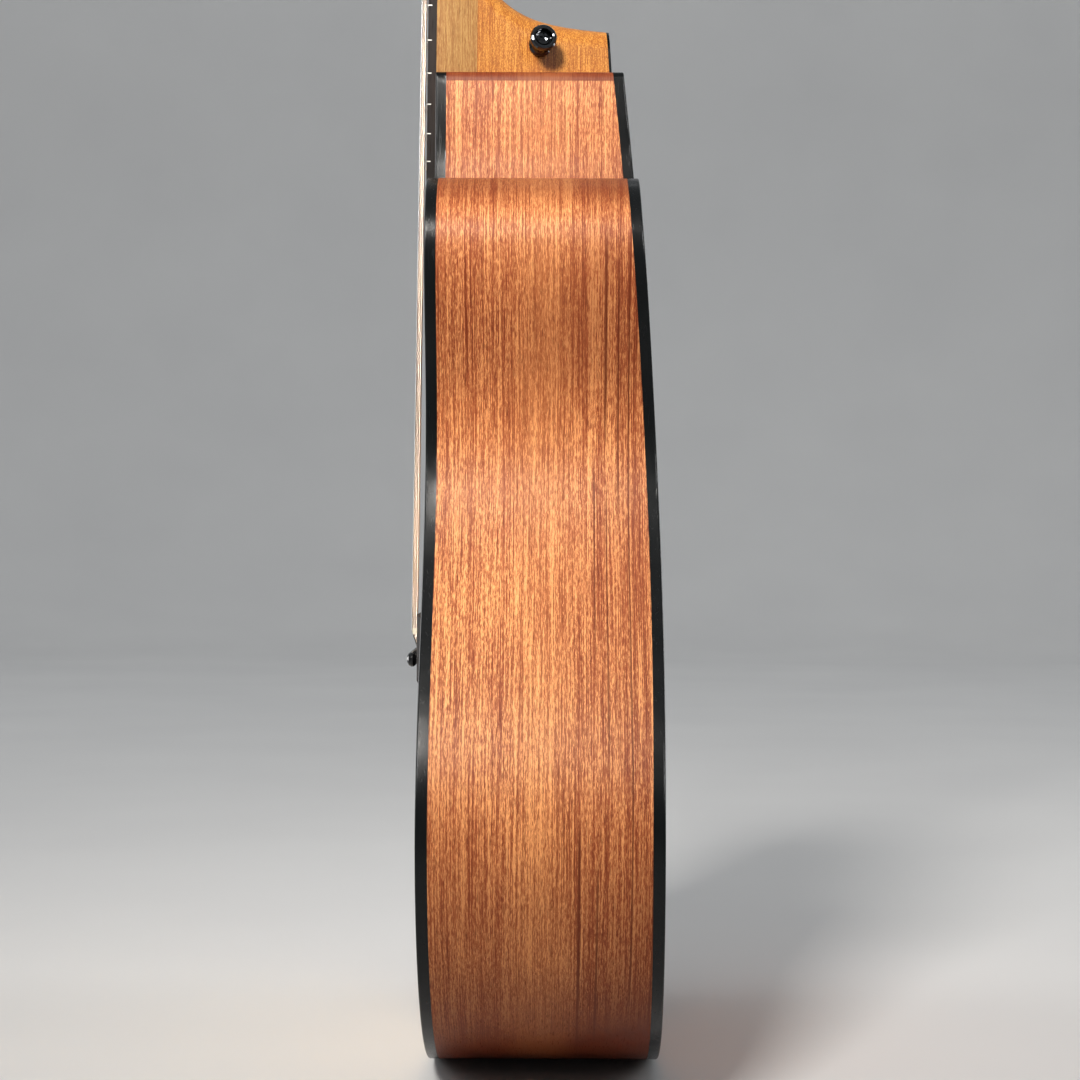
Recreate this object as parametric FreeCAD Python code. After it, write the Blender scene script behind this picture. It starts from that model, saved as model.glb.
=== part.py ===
import FreeCAD, Part
import math
import os

# Steel-string acoustic guitar with a rounded cutaway on the treble side, standing upright.
# Millimetres. X is across the guitar, + to the treble side. Y is through it, + to the back.
# Z runs along it, up towards the headstock. Pieces are drawn with Y = 0 on the soundboard's
# face and Z = 0 at the tail, and save() moves them so that the origin is the end pin's seat.

V = FreeCAD.Vector
NEAR = 0.02          # clearance between pieces that are glued or pressed together
LEFT_RIGHT = (-1, 1)

# ---- body ----
body_length = 510.0
bout_half = 200.0
bout_z = 136.0
waist_half = 121.0
waist_z = 318.0
upper_half = 143.0
upper_z = 415.0
shoulder_flat_half = 34.0     # the straight end of the body, where the heel stands
back_depth = 117.3            # soundboard face to the highest point of the arched back
back_radius = 3600.0
back_apex_z = 129.0
plate_thick = 2.8
side_thick = 2.2
binding_height = 5.5
binding_round = 0.9
lining_width = 6.0
lining_height = 14.0
hole_z = 356.0
hole_radius = 50.5
rosette_inner = 54.5
rosette_outer = 66.0
rosette_deep = 1.2
samples_per_curve = 9

# ---- cutaway, treble side ----
horn_half = 143.0
horn_side_z = 406.0
horn_tip = (106.0, 443.0)
scoop_low = (68.0, 424.0)
scoop_high = (37.0, 478.0)
neck_corner = (35.0, 506.0)
corner_radius = 4.0

# ---- neck ----
scale_length = 648.0
body_fret = 14
fret_count = 20
neck_angle = 0.45             # degrees, leaning back from the soundboard
joint_half = 28.0             # half width of the fingerboard at the body
nut_half = 22.25
board_thick = 5.5
board_radius = 400.0
board_past_last_fret = 5.5
fret_height = 1.1
fret_half_width = 1.2
tang_half = 0.3
tang_deep = 2.0
nut_thick = 5.5
nut_height = 8.4
shaft_thick = 21.0            # glue line between the neck and the heel block
heel_end = 89.2
cap_thick = 1.3
heel_round = 5.0
neck_round = 13.0

# ---- headstock and tuners ----
head_angle = 14.0
head_thick = 13.5
head_length = 186.0
veneer_thick = 1.6
tuner_along = (46.0, 87.0, 128.0)
tuner_edge_gap = 12.0
gear_teeth = 14
gear_module = 0.55
gear_width = 2.4
worm_down = 4.4
post_radius = 3.0

# ---- bridge and strings ----
bridge_half = 76.0
bridge_tall = 34.0
bridge_thick = 8.6
saddle_half = 37.0
saddle_wide = 3.2
saddle_slant = 2.3            # degrees, the bass end lies further from the nut
string_height = 12.6          # above the soundboard at the saddle
saddle_spread = 55.0
nut_spread = 37.5
pin_behind = 13.5
pin_radius = 2.6
string_diameters = (1.35, 1.07, 0.81, 0.61, 0.41, 0.30)   # bass to treble

pitch = math.pi * gear_module
gear_pitch_radius = gear_module * gear_teeth / 2
worm_pitch_radius = 1.65
worm_side = gear_pitch_radius + worm_pitch_radius
joint_to_saddle = scale_length * 2 ** (-body_fret / 12)
nut_z = body_length + scale_length - joint_to_saddle
saddle_z = body_length - joint_to_saddle - 2.0
pin_z = saddle_z - pin_behind
tail_depth = back_depth - back_apex_z ** 2 / (2 * back_radius)
end_pin_y = tail_depth / 2
under_plate = plate_thick + 2.4      # underside of the bridge plate
origin_shift = V(0, -end_pin_y, 0)


# ---------------------------------------------------------------- small helpers

def bezier(start, start_handle, end_handle, end, count=samples_per_curve):
    """Points along a cubic curve in (x, z), without its last point."""
    points = []
    for i in range(count):
        t = i / count
        weights = ((1 - t) ** 3, 3 * t * (1 - t) ** 2, 3 * t * t * (1 - t), t ** 3)
        corners = (start, start_handle, end_handle, end)
        points.append(tuple(sum(w * c[k] for w, c in zip(weights, corners)) for k in (0, 1)))
    return points


def lower_half(side):
    """The outline from the tail up to the widest part of the upper bout, on one side."""
    points = bezier((0, 0), (122, 0), (bout_half, bout_z - 66), (bout_half, bout_z), 12)
    points += bezier((bout_half, bout_z), (bout_half, bout_z + 62),
                     (waist_half, waist_z - 62), (waist_half, waist_z))
    top = (upper_half, upper_z) if side < 0 else (horn_half, horn_side_z)
    points += bezier((waist_half, waist_z), (waist_half, waist_z + 36),
                     (top[0], top[1] - 34), top, 7)
    return [(side * x, z) for x, z in points]


def bass_shoulder():
    points = bezier((upper_half, upper_z), (upper_half, upper_z + 52),
                    (shoulder_flat_half + 48, body_length), (shoulder_flat_half, body_length))
    return [(-x, z) for x, z in points] + [(-shoulder_flat_half, body_length)]


def cutaway():
    horn_reach = 20
    points = bezier((horn_half, horn_side_z), (horn_half, horn_side_z + horn_reach),
                    (horn_tip[0] + horn_reach, horn_tip[1]), horn_tip, 8)
    points += bezier(horn_tip, (horn_tip[0] - 14, horn_tip[1]),
                     (scoop_low[0] + 12, scoop_low[1]), scoop_low, 7)
    points += bezier(scoop_low, (scoop_low[0] - 20, scoop_low[1]),
                     (scoop_high[0], scoop_high[1] - 26), scoop_high, 8)
    points += [scoop_high, ((scoop_high[0] + neck_corner[0]) / 2, 493.0)]
    for i in range(6):
        turn = math.radians(18 * i)
        points.append((neck_corner[0] - corner_radius * (1 - math.cos(turn)),
                       neck_corner[1] + corner_radius * math.sin(turn)))
    return points


OUTLINE = (lower_half(-1) + bass_shoulder())[::-1][:-1] + lower_half(1) + cutaway()


def inset_points(inset):
    """The outline moved inwards, leaving out points that a tight corner would fold over."""
    moved = []
    last = len(OUTLINE) - 1
    for i, (x, z) in enumerate(OUTLINE):
        before = OUTLINE[max(i - 1, 0)]
        after = OUTLINE[min(i + 1, last)]
        dx, dz = after[0] - before[0], after[1] - before[1]
        if i in (0, last):
            dx, dz = (-1 if i == last else -1), 0
        size = math.hypot(dx, dz)
        px, pz = x - inset * dz / size, z + inset * dx / size
        clear = min(math.hypot(px - a, pz - b) for a, b in OUTLINE) > inset * 0.97 - 0.01
        if clear or inset == 0:
            moved.append((px, pz))
    return moved


def outline_face(inset, y):
    points = [V(x, y, z) for x, z in inset_points(inset)]
    curve = Part.BSplineCurve()
    curve.interpolate(points)
    end = Part.LineSegment(points[-1], points[0])
    return Part.Face(Part.Wire([curve.toShape(), end.toShape()]))


def body_prism(inset, y0, y1):
    return outline_face(inset, y0).extrude(V(0, y1 - y0, 0))


def ring(outer, inner, y0, y1):
    return body_prism(outer, y0, y1).cut(body_prism(inner, y0 - 1, y1 + 1))


def back_sphere(inset):
    """A ball whose skin is the arched back, or lies inset below it."""
    return Part.makeSphere(back_radius - inset, V(0, back_depth - back_radius, back_apex_z))


def box(x0, x1, y0, y1, z0, z1):
    return Part.makeBox(x1 - x0, y1 - y0, z1 - z0, V(x0, y0, z0))


def cylinder(radius, length, base, direction):
    return Part.makeCylinder(radius, length, base, direction)


def prism_xz(points, y0, y1):
    """A straight-sided outline in (x, z), from y0 to y1."""
    wire = Part.makePolygon([V(x, y0, z) for x, z in points + points[:1]])
    return Part.Face(wire).extrude(V(0, y1 - y0, 0))


def revolved(profile, base, direction):
    """A closed (radius, height) profile turned about an axis."""
    wire = Part.makePolygon([V(r, 0, h) for r, h in profile + profile[:1]])
    solid = Part.Face(wire).revolve(V(0, 0, 0), V(0, 0, 1), 360)
    turn = FreeCAD.Rotation(V(0, 0, 1), direction)
    solid.Placement = FreeCAD.Placement(base, turn)
    return solid


def lean(shape):
    """Tips a piece of the neck back about the body joint."""
    leaned = shape.copy()
    leaned.rotate(V(0, 0, body_length), V(1, 0, 0), -neck_angle)
    return leaned


def lean_point(point):
    turn = FreeCAD.Rotation(V(1, 0, 0), -neck_angle)
    pivot = V(0, 0, body_length)
    return turn.multVec(point - pivot) + pivot


def group(solids):
    return Part.makeCompound([s for shape in solids for s in shape.Solids])


def save(name, shape):
    placed = shape.copy()
    placed.translate(origin_shift)
    placed.exportStep(f"parts/{name}.step")
    good = all(s.isValid() and s.Volume > 0 for s in placed.Solids)
    print(f"{name:20s} solids {len(placed.Solids):3d} volume {placed.Volume:12.1f} valid {good}")


# ---------------------------------------------------------------- body shell

def soundboard():
    plate = body_prism(side_thick + NEAR, 0, plate_thick)
    plate = plate.cut(cylinder(hole_radius, 20, V(0, -5, hole_z), V(0, 1, 0)))
    plate = plate.cut(rosette_ring(0))
    for x in string_xs(saddle_spread):
        plate = plate.cut(cylinder(pin_radius, 20, V(x, -5, pin_z), V(0, 1, 0)))
    return plate


def rosette_ring(slack):
    outer = cylinder(rosette_outer - slack, rosette_deep, V(0, 0, hole_z), V(0, 1, 0))
    return outer.cut(cylinder(rosette_inner + slack, 3, V(0, -1, hole_z), V(0, 1, 0)))


def back_plate():
    shell = body_prism(side_thick + NEAR, 60, 130).common(back_sphere(0))
    return shell.cut(back_sphere(plate_thick))


def rounded_edge(solid, y_low, y_high):
    """Rounds the long outer corner of a binding strip."""
    long_edges = [e for e in solid.Edges
                  if e.Length > 800 and y_low < e.BoundBox.Center.y < y_high]
    outer = max(long_edges, key=lambda e: e.Length)
    return solid.makeFillet(binding_round, [outer])


def top_binding():
    strip = ring(0, side_thick, 0, binding_height)
    return rounded_edge(strip, -0.5, 0.5)


def back_binding():
    """Rounded in lengths, which are then joined into one strip."""
    domed = body_prism(0, 60, 130).common(back_sphere(0))
    lengths = []
    for x0, x1, z0, z1 in ((-230, 0, -5, 515), (0, 230, -5, 300), (0, 230, 300, 470),
                           (0, 230, 470, 515)):
        piece = domed.common(box(x0, x1, 50, 140, z0, z1))
        rim = [e for e in piece.Edges
               if e.BoundBox.YMin > 90 and isinstance(e.Curve, Part.BSplineCurve)]
        piece = piece.makeFillet(binding_round, rim)
        lengths.append(piece.cut(body_prism(side_thick, 50, 140)).cut(back_sphere(binding_height)))
    return lengths[0].multiFuse(lengths[1:]).removeSplitter()


def sides():
    """The two bent sides and the strip let in between them at the tail."""
    wall = ring(0, side_thick, binding_height + NEAR, 125)
    wall = wall.common(back_sphere(binding_height + NEAR))
    graft_half = 9.0
    graft = wall.common(box(-graft_half + NEAR, graft_half - NEAR, 0, 130, -5, 30))
    treble = wall.common(box(graft_half, 230, 0, 130, -5, body_length + 5))
    bass = wall.common(box(-230, -graft_half, 0, 130, -5, body_length + 5))
    top_strip = wall.common(box(-graft_half, graft_half, 0, 130, 400, body_length + 5))
    bass = bass.fuse(top_strip).removeSplitter()
    for y in bolt_heights():
        bass = bass.cut(cylinder(3.4, 40, V(0, y, body_length - 20), V(0, 0, 1)))
    return treble, bass, graft


def lining(y0, y1):
    strip = ring(side_thick + NEAR, side_thick + lining_width, y0, y1)
    return strip.cut(block_space())


def block_space():
    gap = 0.3
    head = box(-60 - gap, 52 + gap, 0, 130, body_length - 64, body_length + 5)
    tail = box(-45 - gap, 45 + gap, 0, 130, -5, 40)
    return head.fuse(tail)


def linings():
    top = lining(plate_thick + NEAR, plate_thick + lining_height)
    back = lining(60, 130).common(back_sphere(plate_thick + NEAR))
    back = back.cut(back_sphere(plate_thick + lining_height))
    return top, back


def blocks():
    inner = body_prism(side_thick + NEAR, plate_thick + NEAR, 130)
    inner = inner.common(back_sphere(plate_thick + NEAR))
    head = inner.common(box(-60, 52, 0, 130, body_length - 62, body_length))
    tail = inner.common(box(-45, 45, 0, 130, 0, 24))
    for y in bolt_heights():
        head = head.cut(cylinder(3.4, 100, V(0, y, body_length - 80), V(0, 0, 1)))
    tail = tail.cut(end_pin_bore(0.05))
    return head, tail


def bolt_heights():
    return (34.0, 68.0)


def end_pin_bore(slack):
    return cylinder(4.6 + slack, 60, V(0, end_pin_y, -10), V(0, 0, 1))


# ---------------------------------------------------------------- bracing

def brace(start, end, width, height, tip=3.0, scoop=28.0):
    """A bar glued under the soundboard from start to end in (x, z), thinned at both ends."""
    length = math.hypot(end[0] - start[0], end[1] - start[1])
    side = [(0, 0), (length, 0), (length, tip), (length - scoop, height), (scoop, height), (0, tip)]
    wire = Part.makePolygon([V(-width / 2, y, s) for s, y in side + side[:1]])
    bar = Part.Face(wire).extrude(V(width, 0, 0))
    heading = math.degrees(math.atan2(end[0] - start[0], end[1] - start[1]))
    bar.rotate(V(0, 0, 0), V(0, 1, 0), heading)
    bar.translate(V(start[0], plate_thick + NEAR, start[1]))
    return bar


def top_braces():
    cross_z = 286.0
    spread = math.tan(math.radians(48))
    reach_up, reach_down = 92.0, 158.0
    inner = body_prism(side_thick + lining_width + 1.0, 0, 60)
    legs = []
    for side in LEFT_RIGHT:
        start = (side * reach_down * spread, cross_z - reach_down)
        end = (-side * reach_up * spread, cross_z + reach_up)
        legs.append(brace(start, end, 8.0, 15.0))
    half_lap = box(-9, 9, plate_thick + 7.5, 60, cross_z - 9, cross_z + 9)
    under = box(-9, 9, 0, plate_thick + 7.5 + NEAR, cross_z - 9, cross_z + 9)
    notch_under = legs[0].common(half_lap)
    notch_over = legs[1].common(under)
    legs[0] = legs[0].cut(half_lap.common(widened(legs[1], 0.1)))
    legs[1] = legs[1].cut(under.common(widened(legs[0], 0.1)))
    bars = legs
    bars.append(brace((-126, 432), (66, 432), 10.0, 13.0, scoop=20))
    bars.append(brace((-66, 176), (80, 92), 7.0, 11.0))
    bars.append(brace((-30, 124), (56, 50), 7.0, 10.0))
    for side in LEFT_RIGHT:
        bars.append(brace((side * 66, 318), (side * 66, 390), 6.0, 7.0, scoop=18))
        bars.append(brace((side * 88, 232), (side * 134, 218), 6.0, 8.0, scoop=18))
        bars.append(brace((side * 104, 204), (side * 146, 176), 6.0, 8.0, scoop=18))
    legs_shape = bars[0].fuse(bars[1])
    keep = bars[:2]
    for bar in bars[2:]:
        keep.append(bar.cut(widened_box(legs_shape, bar)))
    clear = cylinder(hole_radius + 0.8, 40, V(0, 0, hole_z), V(0, 1, 0))
    return group([bar.common(inner).cut(clear) for bar in keep])


def widened(bar, amount):
    """The bar with a little slack on every side, for cutting a joint."""
    copies = [bar]
    for dx in (-amount, amount):
        for dz in (-amount, amount):
            moved = bar.copy()
            moved.translate(V(dx, 0, dz))
            copies.append(moved)
    return copies[0].multiFuse(copies[1:])


def widened_box(legs_shape, bar):
    return widened(legs_shape, 0.3)


def back_bracing():
    """Ladder braces under the arched back, and the strip over its centre seam between them."""
    inner = body_prism(side_thick + lining_width + 1.0, 60, 130)
    inner = inner.common(back_sphere(plate_thick + NEAR))
    solids = []
    strips = inner.cut(back_sphere(plate_thick + 2.0)).common(box(-9, 9, 60, 130, 26, 446))
    for z, width, deep in ((84, 16, 14), (182, 16, 15), (300, 8, 18), (408, 8, 18)):
        bar = box(-220, 220, back_depth - plate_thick - deep, 130, z - width / 2, z + width / 2)
        solids.append(bar.common(inner))
        strips = strips.cut(box(-30, 30, 60, 130, z - width / 2 - NEAR, z + width / 2 + NEAR))
    return group(solids + [strips])


def bridge_plate():
    plate = box(-58, 58, plate_thick + NEAR, under_plate, pin_z - 15, pin_z + 21)
    for x in string_xs(saddle_spread):
        plate = plate.cut(cylinder(pin_radius, 20, V(x, -5, pin_z), V(0, 1, 0)))
    return plate


# ---------------------------------------------------------------- bridge

def string_xs(spread):
    """Where the strings lie across, bass to treble, with even gaps between their edges."""
    total = sum(string_diameters)
    gap = (spread - total) / (len(string_diameters) - 1)
    places = []
    edge = -spread / 2
    for diameter in string_diameters:
        places.append(edge + diameter / 2)
        edge += diameter + gap
    return places


def string_crown(x):
    """How much lower the curved saddle and nut stand at x than at the middle."""
    return board_radius - math.sqrt(board_radius ** 2 - x * x)


def saddle_slot(slack):
    slot = box(-saddle_half - slack, saddle_half + slack, -40, 0,
               -saddle_wide / 2 - slack, saddle_wide / 2 + slack)
    slot.rotate(V(0, 0, 0), V(0, 1, 0), -saddle_slant)
    slot.translate(V(0, 0, saddle_z))
    return slot


def saddle_line_z(x):
    """Z of the saddle's centre line at x: the treble end is nearer the nut."""
    return saddle_z + x * math.tan(math.radians(saddle_slant))


def bridge():
    low, high = saddle_z - bridge_tall + 10.0, saddle_z + 10.0
    wing = 34.0
    mid = (low + high) / 2
    belly = 4.0
    outline = [V(-bridge_half, 0, low + 6), V(-bridge_half, 0, high - 5),
               V(-wing, 0, high), V(wing, 0, high),
               V(bridge_half, 0, high - 5), V(bridge_half, 0, low + 6),
               V(wing, 0, low)]
    lines = [Part.LineSegment(a, b) for a, b in zip(outline, outline[1:])]
    lines.append(Part.Arc(V(wing, 0, low), V(0, 0, low - belly), V(-wing, 0, low)))
    lines.append(Part.LineSegment(V(-wing, 0, low), outline[0]))
    face = Part.Face(Part.Wire([s.toShape() for s in lines]))
    solid = face.extrude(V(0, -bridge_thick, 0))
    profile = [(-bridge_half - 1, 1), (-bridge_half - 1, -3.2), (-52, -3.6), (-42, -bridge_thick + 1.2),
               (-34, -bridge_thick), (34, -bridge_thick), (42, -bridge_thick + 1.2),
               (52, -3.6), (bridge_half + 1, -3.2), (bridge_half + 1, 1)]
    points = [V(x, y, low - 10) for x, y in profile]
    curves = [Part.LineSegment(points[0], points[1]).toShape()]
    for a, b in ((1, 5), (5, 9)):
        spline = Part.BSplineCurve()
        spline.interpolate(points[a:b] if a == 1 else points[5:9])
        curves.append(spline.toShape())
    curves.insert(2, Part.LineSegment(points[4], points[5]).toShape())
    curves += [Part.LineSegment(points[8], points[9]).toShape(),
               Part.LineSegment(points[9], points[0]).toShape()]
    hump = Part.Face(Part.Wire(curves)).extrude(V(0, 0, 70))
    solid = solid.common(hump)
    solid = solid.cut(saddle_slot(NEAR).common(box(-60, 60, -30, -3.0, 150, 260)))
    for x in string_xs(saddle_spread):
        solid = solid.cut(cylinder(pin_radius, 20, V(x, -15, pin_z), V(0, 1, 0)))
        solid = solid.cut(string_channel(x))
    solid.translate(V(0, -NEAR, 0))
    return solid


def string_channel(x):
    """The ramp that a string takes from its pin hole up to the saddle."""
    half = 0.9
    side = [(-bridge_thick - 2, pin_z), (-bridge_thick + 2.2, pin_z + 2.0),
            (-bridge_thick - 0.4, pin_z + 7.5), (-bridge_thick - 2, pin_z + 7.5)]
    wire = Part.makePolygon([V(x - half, y, z) for y, z in side + side[:1]])
    return Part.Face(wire).extrude(V(2 * half, 0, 0))


def saddle():
    """A bone blade whose top edge follows the strings' curve and slopes down to the pins."""
    blade = saddle_slot(0).common(box(-60, 60, -30, -3.0 - NEAR, 150, 260))
    top = string_height - string_diameters[3] / 2
    round_top = cylinder(board_radius, 120, V(0, board_radius - top, 150), V(0, 0, 1))
    bevel = cylinder(board_radius, 200, V(0, board_radius - top, saddle_z - 100), V(0, 0, 1))
    bevel.rotate(V(0, -top, saddle_z), V(1, 0, 0), 22)
    blade = blade.common(round_top).common(bevel)
    blade.translate(V(0, -NEAR, 0))
    for number in range(1, 7):
        blade = blade.cut(string_tube(number, 0.03))
    return blade


def bridge_pins():
    head_high, head_radius = 5.2, 3.9
    profile = [(0, -head_high), (1.8, -head_high), (3.2, -head_high + 0.8), (head_radius, -3.1),
               (head_radius, -2.2), (3.0, -1.0), (2.5, -0.6), (2.5, 0), (2.1, 24.0), (0, 25.0)]
    pins = []
    for x, diameter in zip(string_xs(saddle_spread), string_diameters):
        pin = revolved([(r, h - bridge_thick - 0.1) for r, h in profile], V(x, 0, pin_z), V(0, 1, 0))
        slot = box(x - diameter / 2 - 0.15, x + diameter / 2 + 0.15, -bridge_thick - 0.3, 30,
                   pin_z + pin_radius - diameter - 0.35, pin_z + 4)
        ball_room = box(x - 1.85, x + 1.85, under_plate - 0.1, 40, pin_z - 0.3, pin_z + 4)
        pins.append(pin.cut(slot).cut(ball_room))
    return group(pins)


# ---------------------------------------------------------------- neck

def board_half(z):
    return joint_half + (nut_half - joint_half) * (z - body_length) / (nut_z - body_length)


def fret_z(number):
    return nut_z - scale_length * (1 - 2 ** (-number / 12))


def cheek_wire(z):
    """A slice through the neck and heel at z, wider than the wood is deep."""
    half = board_half(z)
    widths = ((half, -4.0), (half * 0.97, 20.0), (half * 0.82, 52.0), (half * 0.6, 96.0))
    sides = []
    for side in LEFT_RIGHT:
        curve = Part.BSplineCurve()
        curve.interpolate([V(side * x, y, z) for x, y in widths])
        sides.append(curve.toShape())
    front = Part.LineSegment(V(-half, -4, z), V(half, -4, z)).toShape()
    back = Part.LineSegment(V(-half * 0.6, 96, z), V(half * 0.6, 96, z)).toShape()
    return Part.Wire(Part.__sortEdges__([front, sides[1], back, sides[0]]))


def cheek_half(y):
    """Half width of the heel at depth y, near the body."""
    curve = Part.BSplineCurve()
    curve.interpolate([V(joint_half, -4, 0), V(joint_half * 0.97, 20, 0),
                       V(joint_half * 0.82, 52, 0), V(joint_half * 0.6, 96, 0)])
    hit = curve.toShape().section(Part.makeLine(V(0, y, 0), V(60, y, 0)))
    return hit.Vertexes[0].X


def neck_wood():
    """Neck and heel as one carved shape, before it is divided at the glue lines."""
    end = nut_z + nut_thick
    slope = math.radians(head_angle)
    stub = 14.0
    face_end = V(0, stub * math.sin(slope), end + stub * math.cos(slope))
    back = [(16.5, face_end.z), (15.8, nut_z - 30), (16.2, 760), (16.8, 670), (17.8, 615),
            (20.2, 585), (24.4, 566), (29.9, 555.2), (35.9, 549.4), (48.0, 542.6), (61.1, 539.3),
            (76.2, 537.6), (heel_end + cap_thick - 1.0, 536.8)]
    curve = Part.BSplineCurve()
    curve.interpolate([V(0, y, z) for y, z in back])
    corner = V(0, heel_end + cap_thick + 1.6, body_length - 8)
    wire = Part.Wire([
        Part.LineSegment(V(0, 0, body_length - 8), V(0, 0, end)).toShape(),
        Part.LineSegment(V(0, 0, end), face_end).toShape(),
        Part.LineSegment(face_end, V(0, 16.5, face_end.z)).toShape(),
        curve.toShape(),
        Part.LineSegment(V(0, heel_end + cap_thick - 1.0, 536.8), corner).toShape(),
        Part.LineSegment(corner, V(0, 0, body_length - 8)).toShape()])
    slab = Part.Face(wire).extrude(V(100, 0, 0))
    slab.translate(V(-50, 0, 0))
    cheeks = Part.makeLoft([cheek_wire(480.0), cheek_wire(920.0)], True, True)
    carved = slab.common(cheeks)
    long_edges = [e for e in carved.Edges if e.Length > 350 and e.BoundBox.YMax > 60]
    return carved.makeFillet(neck_round, heel_round, long_edges)


def head_frame(u, v, x=0.0):
    """A point on the headstock: u up along its face, v behind its wooden face, x across."""
    slope = math.radians(head_angle)
    start = V(0, 0, nut_z + nut_thick)
    return start + V(x, u * math.sin(slope) + v * math.cos(slope),
                     u * math.cos(slope) - v * math.sin(slope))


def head_half(u):
    """Half width of the headstock at u, along the part that carries the tuners."""
    return 31.0 + (u - 34.0) * 0.036


def head_slab(v0, v1, inset=0.0, start=0.0):
    top = head_length
    right = [(nut_half + 0.1 - inset, start), (nut_half + 0.7 - inset, 7), (27.6 - inset, 20),
             (head_half(36) - inset, 36), (head_half(90) - inset, 90),
             (head_half(top - 16) - inset, top - 16)]
    edges = []
    for side in LEFT_RIGHT:
        curve = Part.BSplineCurve()
        curve.interpolate([head_frame(u, v0, side * x) for x, u in right])
        edges.append(curve.toShape())
    tip_x, tip_u = right[-1]
    crown = Part.Arc(head_frame(tip_u, v0, -tip_x), head_frame(top - inset, v0, 0),
                     head_frame(tip_u, v0, tip_x)).toShape()
    foot = Part.LineSegment(head_frame(start, v0, -right[0][0]),
                            head_frame(start, v0, right[0][0])).toShape()
    face = Part.Face(Part.Wire(Part.__sortEdges__([foot, edges[1], crown, edges[0]])))
    return face.extrude(head_frame(0, v1) - head_frame(0, v0))


def tuner_places():
    """(number, x, u, side) of each post: 1 to 3 up the bass side, 4 to 6 down the treble side."""
    places = []
    for i, u in enumerate(tuner_along):
        places.append((i + 1, -(head_half(u) - tuner_edge_gap), u, -1))
    for i, u in enumerate(reversed(tuner_along)):
        places.append((i + 4, head_half(u) - tuner_edge_gap, u, 1))
    return places


def head_normal():
    return (head_frame(0, 0) - head_frame(0, 1)).normalize()


def head_up():
    return (head_frame(1, 0) - head_frame(0, 0)).normalize()


def post_hole(x, u, radius):
    return cylinder(radius, head_thick + 20, head_frame(u, head_thick + 10, x), head_normal())


def cavity_for_truss_nut():
    pocket = box(-5.5, 5.5, 0, 11.2, 0, 34.0)
    pocket.rotate(V(0, 0, 0), V(1, 0, 0), -head_angle)
    pocket.translate(head_frame(3.0, -3.0))
    return pocket


def truss_slot(slack):
    half = 3.0 + slack
    return box(-half, half, NEAR - slack, 9.5 + slack, body_length - 2, nut_z + 3.0)


def neck_parts():
    wood = neck_wood().fuse(head_slab(0, head_thick, start=-4.0)).removeSplitter()
    front = box(-60, 60, -60, 0, 300, nut_z + nut_thick)
    wood = wood.cut(front)
    for _, x, u, _ in tuner_places():
        wood = wood.cut(post_hole(x, u, 5.0))
    wood = wood.cut(cavity_for_truss_nut()).cut(truss_slot(0.05))
    wood = wood.cut(cylinder(2.6, 60, V(0, 5.0, nut_z - 20), V(0, 0, 1)).common(
        box(-9, 9, 0, 12, nut_z, nut_z + 9)))
    shaft = wood.common(box(-60, 60, -1, shaft_thick - NEAR, 300, nut_z - 40))
    upper = wood.common(box(-60, 60, -1, 140, nut_z - 40, 1200))
    shaft = shaft.fuse(upper).removeSplitter()
    heel = wood.common(box(-60, 60, shaft_thick, 120, 300, nut_z - 40)).cut(cap_space(0))
    cap = wood.common(cap_space(NEAR))
    below = box(-80, 80, -20, 150, 300, body_length + NEAR)
    shaft, heel, cap = (lean(piece).cut(below) for piece in (shaft, heel, cap))
    for y in bolt_heights():
        heel = heel.cut(cylinder(2.5, 24, V(0, y, body_length - 5), V(0, 0, 1)))
    heel = heel.cut(strap_screw(0.03)).cut(strap_button_seat())
    return shaft, heel, cap


def cap_space(slack):
    """Everything beyond the glue line of the heel cap, which leans with the heel's end."""
    space = box(-60, 60, slack, 40, -60, 60)
    lean_angle = math.degrees(math.atan2(2.6, 536.8 - body_length + 8))
    space.rotate(V(0, 0, 0), V(1, 0, 0), lean_angle)
    space.translate(V(0, heel_end - 1.0, 536.8))
    return space


def board_blank():
    """The fingerboard before slots and dots. Over the body it is thicker, to meet the top."""
    end_z = fret_z(fret_count) - board_past_last_fret
    outline = [(-board_half(end_z), end_z), (board_half(end_z), end_z),
               (nut_half, nut_z), (-nut_half, nut_z)]
    blank = prism_xz(outline, -board_thick - 2, 6)
    barrel = cylinder(board_radius, 600, V(0, board_radius - board_thick, 350), V(0, 0, 1))
    blank = blank.common(barrel)
    blank = blank.cut(box(-60, 60, -NEAR, 20, body_length, nut_z + 5))
    blank = blank.cut(box(-60, 60, 2.0, 20, 300, body_length + 1))
    leaned = lean(blank)
    return leaned.cut(box(-60, 60, -NEAR, 30, 300, body_length + 0.5))


def fret_half(number):
    return board_half(fret_z(number))


def fret(number):
    """A T-shaped wire bent to the fingerboard's radius, with bevelled ends."""
    crown = [(-fret_half_width, 0), (-0.95, 0.55), (-0.5, 0.95), (0, fret_height), (0.5, 0.95),
             (0.95, 0.55), (fret_half_width, 0), (tang_half, 0), (tang_half, -tang_deep),
             (-tang_half, -tang_deep), (-tang_half, 0)]
    z = fret_z(number)
    centre = V(0, board_radius - board_thick, z)
    points = [V(0, centre.y - board_radius - NEAR - h, z + s) for s, h in crown]
    face = Part.Face(Part.makePolygon(points + points[:1]))
    half = fret_half(number)
    reach = math.degrees(half / board_radius) * 1.1
    face.rotate(centre, V(0, 0, 1), -reach)
    wire = face.revolve(centre, V(0, 0, 1), 2 * reach)
    edge = board_thick - half ** 2 / (2 * board_radius)
    bevel = [(-half, 0), (half, 0), (half, -edge), (half - 1.0, -edge - fret_height - 0.6),
             (1.0 - half, -edge - fret_height - 0.6), (-half, -edge)]
    keep = Part.Face(Part.makePolygon([V(x, y, z - 3) for x, y in bevel + bevel[:1]]))
    return wire.common(keep.extrude(V(0, 0, 6)))


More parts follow.
